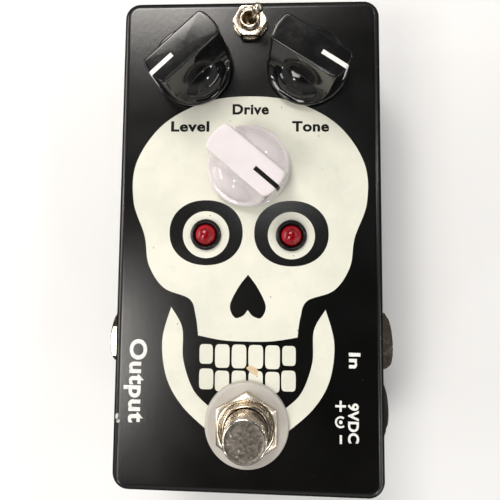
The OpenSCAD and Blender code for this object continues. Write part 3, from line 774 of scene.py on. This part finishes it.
def skull_print():
    """A generic skull sign: round sockets, a plain nose, square teeth and a jaw."""
    head = smooth_loop(mirrored([
        (0, 35.2), (11, 33.8), (21.5, 28.2), (28.0, 18.8), (28.6, 9.0), (25.6, 0.5), (24.4, -6.5),
        (20.6, -12.0), (14.2, -14.6), (12.6, -18.5), (11.9, -23.2), (11.9, -23.2), (6, -24.2),
        (0, -24.4)]))
    sockets = [ellipse(s * EYE_X, EYE_Y + 0.5, 9.0, 7.9, power=2.15) for s in (-1, 1)]
    nose = smooth_loop(mirrored([(0, -8.6), (0, -8.6), (2.4, -11.8), (4.3, -16.0), (3.2, -18.8),
                                 (1.2, -18.4), (0, -17.0), (0, -17.0)]))
    layer("skull_head", [head, *sockets, nose], CREAM)
    rings = []
    for s in (-1, 1):
        rings += [ellipse(s * EYE_X, EYE_Y, 5.7, 5.7), ellipse(s * EYE_X, EYE_Y, 3.3, 3.3)]
    layer("skull_eye_rings", rings, CREAM)
    teeth = [ellipse(s * x, -27.9, 1.75, 2.75, power=5) for s in (-1, 1) for x in (2, 6)]
    teeth += [ellipse(s * 9.9, -27.5, 1.6, 2.3, power=5) for s in (-1, 1)]
    teeth += [ellipse(s * x, y, 1.7, 2.4, power=5) for s in (-1, 1)
              for x, y in ((2, -33.6), (6, -33.7), (9.8, -33.3))]
    layer("skull_teeth", teeth, CREAM)
    jaws = []
    for s in (-1, 1):
        jaws.append(smooth_loop([(s * x, y) for x, y in (
            (18.6, -16.6), (18.6, -16.6), (20.6, -24.5), (19.4, -33.2), (15.4, -39.8), (9.0, -45.4),
            (9.0, -45.4), (8.6, -40.0), (8.6, -40.0), (12.8, -36.0), (15.4, -29.0), (15.8, -21.5))]))
    layer("skull_jaw", jaws, CREAM)


def polarity_sign(x, y, material):
    """The usual sign for a centre-negative socket: plus, a cup round a dot, and minus."""
    arm, half = 1.25, 0.26
    corner = [(half, arm), (half, half), (arm, half), (arm, -half), (half, -half), (half, -arm)]
    plus = [(x + px, y + 3.6 + py) for px, py in corner + [(-px, -py) for px, py in corner]]
    minus = [(x + px, y - 3.9 + py) for px, py in ((half, 1), (half, -1), (-half, -1), (-half, 1))]
    sweep = [math.radians(-40 + 10 * k) for k in range(27)]
    cup = [(x + 1.35 * math.cos(t), y + 1.35 * math.sin(t)) for t in sweep]
    cup += [(x + 0.9 * math.cos(t), y + 0.9 * math.sin(t)) for t in reversed(sweep)]
    turned = [(x - (py - y), y + (px - x)) for px, py in cup]
    layer("polarity_sign", [plus, minus, turned, ellipse(x, y, 0.42, 0.42, 24)], material)


def labels():
    """The knobs' names in black on the print, and the sockets' in white on the paint."""
    label("label_level", "Level", -14.8, 27.5, 2.5, 9.6, BLACK_INK, 1, weight=0.13)
    label("label_drive", "Drive", 0.2, 31.8, 2.5, 9.0, BLACK_INK, 1, weight=0.13)
    label("label_tone", "Tone", 15.1, 27.5, 2.5, 9.0, BLACK_INK, 1, weight=0.13)
    label("label_input", "In", 25.2, -28.2, 2.6, 3.6, WHITE_INK, turn=-90, weight=0.13)
    label("label_power", "9VDC", 24.8, -42.5, 2.4, 9.0, WHITE_INK, turn=-90, weight=0.12)
    polarity_sign(22.0, -42.3, WHITE_INK)
    label("label_output", "Output", -26.6, -34.0, 4.0, 19.5, WHITE_INK, turn=-90, weight=0.2)


# Knobs

def taper(z):
    """Half the bar's length at a height."""
    foot = KNOB_R - 0.3
    return foot + (KNOB_TOP_R - foot) * (z - RIM_TOP) / (KNOB_TOP - RIM_TOP)


def bar_half(z):
    """Half the bar's width: nearly upright sides that sweep out to the rim."""
    return BAR_HALF + 0.085 * (KNOB_TOP - z) + 4.6 * math.exp(-(z - RIM_TOP) / 1.7)


def bar_outline(z, inset=0.0):
    """The bar's outline at a height: two straight sides, two round ends and rounded corners."""
    r = taper(z) - inset
    h = min(bar_half(z) - inset, r - 0.1)
    c = BAR_CORNER - inset
    y = math.sqrt((r - c) ** 2 - (h - c) ** 2)
    turn = math.atan2(y, h - c)

    def arc(cx, cy, radius, first, last, steps):
        angles = [first + (last - first) * k / steps for k in range(steps)]
        return [(cx + radius * math.cos(a), cy + radius * math.sin(a), z) for a in angles]

    right = [(h, -y + 2 * y * k / 12, z) for k in range(12)]
    right += arc(h - c, y, c, 0, turn, 8) + arc(0, 0, r, turn, math.pi - turn, 28)
    right += arc(c - h, y, c, math.pi - turn, math.pi, 8)
    return right + [(-px, -py, z) for px, py, z in right]


def knob(which, material):
    """A bar knob with a domed skirt, turned so that its pointer points up halfway through its range.

    Returns its place, for the pointer line.
    """
    c = centre(which + "_knob")
    turn = -sum(JOINTS[which + "_turn"]["range_deg"]) / 2
    place = upright(c.x, c.y, FACE, turn)
    foot, under = RIM_TOP - 0.25, KNOB_TOP - CROWN - BAR_EDGE
    rings = [bar_outline(foot + (under - foot) * (k / 32) ** 1.3) for k in range(33)]
    for k in range(1, 7):
        t = math.pi / 12 * k
        rings.append(bar_outline(under + BAR_EDGE * math.sin(t), BAR_EDGE * (1 - math.cos(t))))
    last = rings[-1]
    for share in (0.94, 0.8, 0.6, 0.4, 0.2, 0.05):
        rings.append([(x * share, y * share, KNOB_TOP - CROWN * share ** 2) for x, y, _ in last])
    piece = solid(which + "_grip_knob", rings, place, material)
    profile = [(0.02, KNOB_GAP), (KNOB_R - 0.25, KNOB_GAP), (KNOB_R - 0.06, KNOB_GAP + 0.07),
               (KNOB_R, KNOB_GAP + 0.25), (KNOB_R, RIM_TOP - 0.45), (KNOB_R - 0.06, RIM_TOP - 0.22),
               (KNOB_R - 0.22, RIM_TOP - 0.06), (KNOB_R - 0.45, RIM_TOP)]
    profile += [(DOME_R * math.cos(t), RIM_TOP + (DOME_TOP - RIM_TOP) * math.sin(t))
                for t in (math.pi / 2 * k / 30 for k in range(30))]
    profile.append((0.02, DOME_TOP))
    skirt = solid("skirt", [ring(r, z, 144) for r, z in profile], place, material)
    inside = [(0.02, 0), (NUT_SPACE_R + 0.6, 0), (NUT_SPACE_R + 0.6, KNOB_GAP - 0.05),
              (NUT_SPACE_R, KNOB_GAP + 0.4), (NUT_SPACE_R, NUT_SPACE_TOP), (INSERT_R, NUT_SPACE_TOP),
              (INSERT_R, INSERT_TOP), (0.02, INSERT_TOP)]
    hollow = solid("hollow", [ring(r, z, 96) for r, z in inside], place, material)
    hole = cutter(SET_SCREW_R, 0, 12, place @ Matrix.Translation((0, 0, SET_SCREW_Z))
                  @ Matrix.Rotation(math.pi / 2, 4, "X"), 32)
    cut_with(piece, [hollow, hole], [skirt])
    stand_for(piece, which + "_knob", which + "_control")
    return place


def pointer(which, place, material):
    """The inlaid line, along the top from near the middle and most of the way down the end."""
    half, proud, deep = 0.5, 0.03, 0.25
    start, drop = 2.7, 7.6
    under = KNOB_TOP - CROWN - BAR_EDGE
    end = taper(under + BAR_EDGE) - BAR_EDGE
    path = []
    for k in range(9):
        y = start + (end - start) * k / 8
        path.append((y, KNOB_TOP - CROWN * (y / end) ** 2, 0, 1))
    for k in range(1, 6):
        t = math.pi / 12 * k
        path.append((end + BAR_EDGE * math.sin(t), under + BAR_EDGE * math.cos(t),
                     math.sin(t), math.cos(t)))
    for k in range(6):
        z = under - drop * k / 5
        path.append((taper(z), z, 1, 0.1))
    rings = []
    for y, z, ny, nz in path:
        out_y, out_z = y + ny * proud, z + nz * proud
        in_y, in_z = y - ny * deep, z - nz * deep
        rings.append([(-half, out_y, out_z), (half, out_y, out_z), (half, in_y, in_z),
                      (-half, in_y, in_z)])
    piece = solid(which + "_pointer_line", rings, place, material)
    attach(piece, which + "_control")


# LEDs, toggle, footswitch and sockets

def leds():
    """Two 5 mm LEDs in their holders, which stand on the print."""
    places = [upright(s * EYE_X * MM, EYE_Y * MM, FACE + INK * MM) for s in (-1, 1)]
    profile = [(2.56, -5.0), (3.12, -5.0), (3.12, 0), (BEZEL_R, 0), (BEZEL_R - 0.08, 0.75),
               (3.1, 1.15), (2.95, 1.1), (2.56, 0.5)]
    bezels = lathe("led_holders", profile, places, BEZEL, edge=0.2)
    stand_for(bezels, "led_bezels")
    top, r = 2.75, 2.5
    profile = rounded([(0.02, -4.4), (r, -4.4), (r, top - r)], 0.1, False)
    profile += [(r * math.cos(t), top - r + r * math.sin(t))
                for t in (math.pi / 2 * k / 14 for k in range(1, 14))]
    rings = [ring(a, b, 64) for a, b in profile] + [ring(0.05, top, 64)]
    lenses = solid("led_lenses_domed", rings, places, LENS, sharp=60)
    stand_for(lenses, "led_lenses")


def toggle():
    """The toggle's washer, nut, threaded bushing and ball-ended lever, leaning at one stop."""
    c = centre("toggle_washer")
    place = upright(c.x, c.y, FACE)
    bore, washer_r, washer_t = 2.43, 4.2, 0.6
    profile = [(bore, 0), (washer_r, 0), (washer_r, washer_t), (bore, washer_t)]
    washer = lathe("toggle_flat_washer", profile, place, NICKEL, edge=0.18)
    stand_for(washer, "toggle_washer")
    nut = hex_nut("toggle_hex_nut", 7.5, bore, 2.0, upright(c.x, c.y, FACE + washer_t * MM), NICKEL,
                  crown=1.08)
    stand_for(nut, "toggle_nut")
    low = (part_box("toggle_bushing")[0].z - FACE) / MM
    bushing = threaded_tube("toggle_threaded_bushing", 2.4, 1.78, low, 3.8, 0.64, place, NICKEL, 0.1)
    stand_for(bushing, "toggle_bushing")
    lean, ball_r, tip_r = math.radians(14), 1.25, 1.3
    arm = 8.7 / math.cos(lean)
    profile = [(0.02, -5.18), (0.36, -5.12), (0.57, -4.8), (0.6, -4.5), (0.66, -1.15)]
    profile += [(ball_r * math.cos(t), ball_r * math.sin(t))
                for t in (math.radians(a) for a in range(-50, 60, 10))]
    profile += [(0.72, 1.5), (0.74, 3.0), (0.80, 5.0), (0.88, arm - 1.7)]
    profile += [(tip_r * math.cos(t), arm + tip_r * math.sin(t))
                for t in (math.radians(a) for a in range(-44, 90, 8))]
    rings = [ring(max(r, 0.02), z, 64) for r, z in profile]
    pivot = Matrix.Translation(JOINTS["toggle_flip"]["pos_m"])
    leaning = pivot @ Matrix.Rotation(lean, 4, "Y") @ Matrix.Scale(MM, 4)
    lever = solid("toggle_ball_lever", rings, leaning, NICKEL, sharp=60)
    stand_for(lever, "toggle_lever", "toggle_arm")


def footswitch():
    """The nylon washer on the print, the nut, the threaded bushing and the plunger."""
    c = centre("footswitch_washer")
    place = upright(c.x, c.y, FACE)
    bore, washer_t, size = 6.03, 1.5, 144
    profile = [(bore, 0), (9.9, 0), (10.0, 0.5), (9.75, 1.4), (9.2, washer_t), (bore, 1.42)]
    washer = lathe("footswitch_nylon_washer", profile, upright(c.x, c.y, FACE + INK * MM), NYLON,
                   edge=0.35, size=size)
    stand_for(washer, "footswitch_washer")
    nut = hex_nut("footswitch_hex_nut", 14.0, bore, 1.7,
                  upright(c.x, c.y, FACE + (washer_t + INK / 2) * MM), NICKEL, turn=30)
    stand_for(nut, "footswitch_nut")
    low = (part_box("footswitch_bushing")[0].z - FACE) / MM
    bushing = threaded_tube("footswitch_threaded_bushing", 6.0, 5.15, low, 4.0, 0.75, place, NICKEL,
                            0.15, size)
    stand_for(bushing, "footswitch_bushing")
    low, top = ((b.z - FACE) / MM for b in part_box("footswitch_plunger"))
    r, collar_r, collar_h, edge_w, edge_h = 5.0, 6.4, 1.2, 0.55, 0.45
    profile = rounded([(0.02, low), (collar_r, low), (collar_r, low + collar_h), (r, low + collar_h),
                       (r, top - edge_h)], 0.15, False)
    profile += [(r - edge_w * (1 - math.cos(t)), top - edge_h + edge_h * math.sin(t))
                for t in (math.pi / 12 * k for k in range(1, 7))]
    profile += [(a, top - 0.05 * (a / 4.4) ** 4) for a in (4.3, 3.4, 2.4, 1.4, 0.4)]
    rings = [ring(a, z, size) for a, z in profile]
    plunger = solid("footswitch_plunger_button", rings, place, PLUNGER, sharp=50)
    stand_for(plunger, "footswitch_plunger", "footswitch_button")


def return_spring():
    """The coil under the plunger."""
    c = centre("footswitch_plunger")
    low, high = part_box("footswitch_spring")
    wire, turns, steps, sides = 0.35, 6, 28, 12
    coil = (high.x - low.x) / MM / 2 - wire
    length = (high.z - low.z) / MM
    rings = []
    for k in range(turns * steps + 1):
        a, z = 2 * math.pi * k / steps, wire + (length - 2 * wire) * k / (turns * steps)
        section = []
        for i in range(sides):
            t = 2 * math.pi * i / sides
            r = coil + wire * math.sin(t)
            section.append((r * math.cos(a), r * math.sin(a), z + wire * math.cos(t)))
        rings.append(section)
    piece = solid("footswitch_return_spring", rings, upright(c.x, c.y, low.z), ZINC, sharp=60)
    stand_for(piece, "footswitch_spring")
    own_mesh(piece)


def signal_jack(side, prefix):
    """The washer, nut and threaded bushing outside a side wall; side is 1 on the right."""
    washer_t, _, washer_w = spans(prefix + "_jack_washer")
    nut_h, _, nut_w = spans(prefix + "_jack_nut")
    bore, washer_r = 4.78, washer_w / 2
    c = centre(prefix + "_jack_washer")
    wall_x = side * (abs(c.x) - washer_t * MM / 2)
    place = out_of_wall(side, wall_x, c.y, c.z)
    profile = [(bore, 0), (washer_r, 0), (washer_r, washer_t), (bore, washer_t)]
    washer = lathe(prefix + "_flat_washer", profile, place, NICKEL, edge=0.2)
    stand_for(washer, prefix + "_jack_washer")
    nut = hex_nut(prefix + "_hex_nut", nut_w, bore, nut_h,
                  out_of_wall(side, wall_x + side * washer_t * MM, c.y, c.z), NICKEL, turn=30)
    stand_for(nut, prefix + "_jack_nut")
    out = (max(abs(b.x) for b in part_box(prefix + "_jack_bushing")) - abs(wall_x)) / MM
    bushing = threaded_tube(prefix + "_threaded_bushing", 4.75, 3.25,
                            out - spans(prefix + "_jack_bushing").x, out, 0.8, place, NICKEL, 0.5)
    stand_for(bushing, prefix + "_jack_bushing")


def power_socket():
    """The moulded nut outside the wall, and the body with its flange inside."""
    c = centre("dc_jack_nut")
    place = out_of_wall(1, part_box("dc_jack_nut")[0].x, c.y, c.z)
    nut = hex_nut("power_hex_nut", 15.0, 5.53, 2.0, place, MOULDED, turn=30)
    stand_for(nut, "dc_jack_nut")
    profile = [(0.82, -10), (3.0, -10), (3.0, 2.6), (3.3, 2.9), (5.2, 2.9), (5.5, 2.6), (5.5, -2.6),
               (6.8, -2.6), (6.8, -4.1), (5.5, -4.1), (5.5, -12), (0.82, -12)]
    body = lathe("power_socket_body", profile, place, MOULDED, edge=0.12)
    stand_for(body, "dc_jack_body")


def feet():
    """Four stick-on feet at the corners of the base."""
    low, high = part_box("rubber_feet")
    r, h = 5.0, 2.0
    places = [upright(x, y, low.z) for x in (low.x + r * MM, high.x - r * MM)
              for y in (low.y + r * MM, high.y - r * MM)]
    profile = rounded([(0.05, 0), (4.1, 0), (4.9, 0.8), (r, h), (0.05, h)], 0.4, False)
    piece = solid("rubber_bumpers", [ring(r, z, 64) for r, z in profile], places, RUBBER, sharp=60)
    stand_for(piece, "rubber_feet")


# The whole object

def dress_cad_nodes():
    """Materials for every CAD node, and softened edges on the plain ones that stay visible."""
    slots = {p["node"]: p["material_slot"] for p in frame["record"]["subparts"]}
    for name, node in frame["nodes"].items():
        for held in node.material_slots:
            held.material = SLOT_MATERIALS[slots[name]]
    for name, width in (("base_plate", 0.3), ("base_screws", 0.08)):
        node = frame["nodes"][name]
        weld = node.modifiers.new("weld", "WELD")
        weld.merge_threshold = 1e-6
        bevel = node.modifiers.new("edges", "BEVEL")
        bevel.width = width * MM
        bevel.segments = 2
        bevel.limit_method = "ANGLE"
        bevel.angle_limit = math.radians(40)


def lamp(name, place, size, power, color=(1, 1, 1), glossy=True, aimed=False):
    """A rectangular lamp that faces down, or towards the object if it's aimed.

    Reflections show it unless glossy is false.
    """
    data = bpy.data.lights.new(name, "AREA")
    data.shape = "RECTANGLE"
    data.size, data.size_y = size
    data.energy = power
    data.color = color
    piece = add(name, data)
    piece.location = place
    piece.visible_glossy = glossy
    if aimed:
        aim = Vector((0, 0, FACE)) - piece.location
        piece.rotation_euler = aim.to_track_quat("-Z", "Y").to_euler()


# The room's colours by height: 0 is the horizon and everything below it, and 1 straight up
ROOM_COLORS = ((0.0, (0.10, 0.095, 0.085)), (0.012, (0.42, 0.42, 0.42)), (0.26, (0.80, 0.80, 0.79)),
               (0.46, (1.0, 0.99, 0.97)), (0.60, (1.0, 0.98, 0.94)), (0.76, (0.08, 0.073, 0.063)),
               (0.95, (0.035, 0.032, 0.028)))


def room():
    """Surroundings that are dark overhead and underneath, and bright in a band of wall."""
    world = bpy.data.worlds.new("studio")
    world.use_nodes = True
    nodes, links = world.node_tree.nodes, world.node_tree.links
    split = nodes.new("ShaderNodeSeparateXYZ")
    links.new(nodes.new("ShaderNodeTexCoord").outputs["Generated"], split.inputs[0])
    walls = nodes.new("ShaderNodeValToRGB")
    while len(walls.color_ramp.elements) < len(ROOM_COLORS):
        walls.color_ramp.elements.new(0.5)
    for element, (at, color) in zip(walls.color_ramp.elements, ROOM_COLORS):
        element.position = at
        element.color = (*color, 1)
    links.new(split.outputs["Z"], walls.inputs["Fac"])
    links.new(walls.outputs["Color"], nodes["Background"].inputs["Color"])
    nodes["Background"].inputs["Strength"].default_value = ROOM
    bpy.context.scene.world = world


# Where the small lamps hang, in metres from the middle of the pedal
SMALL_LAMPS = ((0, 0.075), (0.70, 0.075), (0.03, 0.58), (0.74, 0.62), (0.70, -0.48),
               (-0.55, -0.52), (1.5, 0.2), (-1.5, 0.05), (-0.95, -1.2), (0.75, -1.3))


def studio():
    """A pale floor that reflections don't show, and the lamps."""
    bpy.context.scene.view_settings.view_transform = "Standard"
    room()
    reach = 9
    corners = [(-reach, -reach, 0), (reach, -reach, 0), (reach, reach, 0), (-reach, reach, 0)]
    floor = finish_mesh("floor", corners, [(0, 1, 2, 3)], floor_paint())
    floor.visible_glossy = False
    hang = 0.75
    ceiling = FACE + hang
    lamp("key_panel", (-0.25, 0.55, ceiling), (0.34, 0.36), KEY, WARM)
    lamp("key_edge", (0.01, 0.57, ceiling), (0.18, 0.34), 0.045 * KEY, WARM)
    lamp("low_panel", (-1.2, 0.1, FACE + 0.26), (1.2, 0.22), LOW, DAYLIGHT, aimed=True)
    lamp("low_right_panel", (1.05, -0.75, FACE + 0.2), (1.2, 0.12), 0.45 * LOW, DAYLIGHT, aimed=True)
    lamp("side_panel", (-0.40, -0.25, ceiling), (0.30, 0.24), SIDE, WARM)
    lamp("fill_panel", (0.15, -0.05, ceiling), (0.8, 0.8), FILL, (1.0, 0.99, 0.97), glossy=False)
    for x, y in SMALL_LAMPS:
        # The further lamps are stronger, to look as bright as the near ones
        power = SPOT * (1 + (x * x + y * y) / hang ** 2)
        lamp("small_lamp", (x, y, ceiling), (0.08, 0.08), power, aimed=True)


def camera():
    """Close over the pedal, looking down, and slightly up the face and to the left."""
    data = bpy.data.cameras.new("camera")
    data.sensor_width = 36.0
    data.lens = 34.7
    data.shift_y = -0.15
    data.clip_start = 0.01
    eye = add("camera", data)
    eye.location = (0.0066, 0.00606, FACE + 0.1179)
    turn = Euler((math.radians(4.61), math.radians(3.07), math.radians(0.25)), "ZYX")
    eye.rotation_euler = turn.to_matrix().to_euler()
    bpy.context.scene.camera = eye


camera()
studio()
dress_cad_nodes()
enclosure()
skull_print()
labels()
for which, tint, slot, line, line_slot in (
        ("level", KNOB_BLACK, "black_knob", WHITE_INK, "white_knob"),
        ("drive", KNOB_WHITE, "white_knob", BLACK_INK, "black_knob"),
        ("tone", KNOB_BLACK, "black_knob", WHITE_INK, "white_knob")):
    pointer(which, knob(which, tint), line)
leds()
toggle()
footswitch()
return_spring()
signal_jack(1, "input")
signal_jack(-1, "output")
power_socket()
feet()
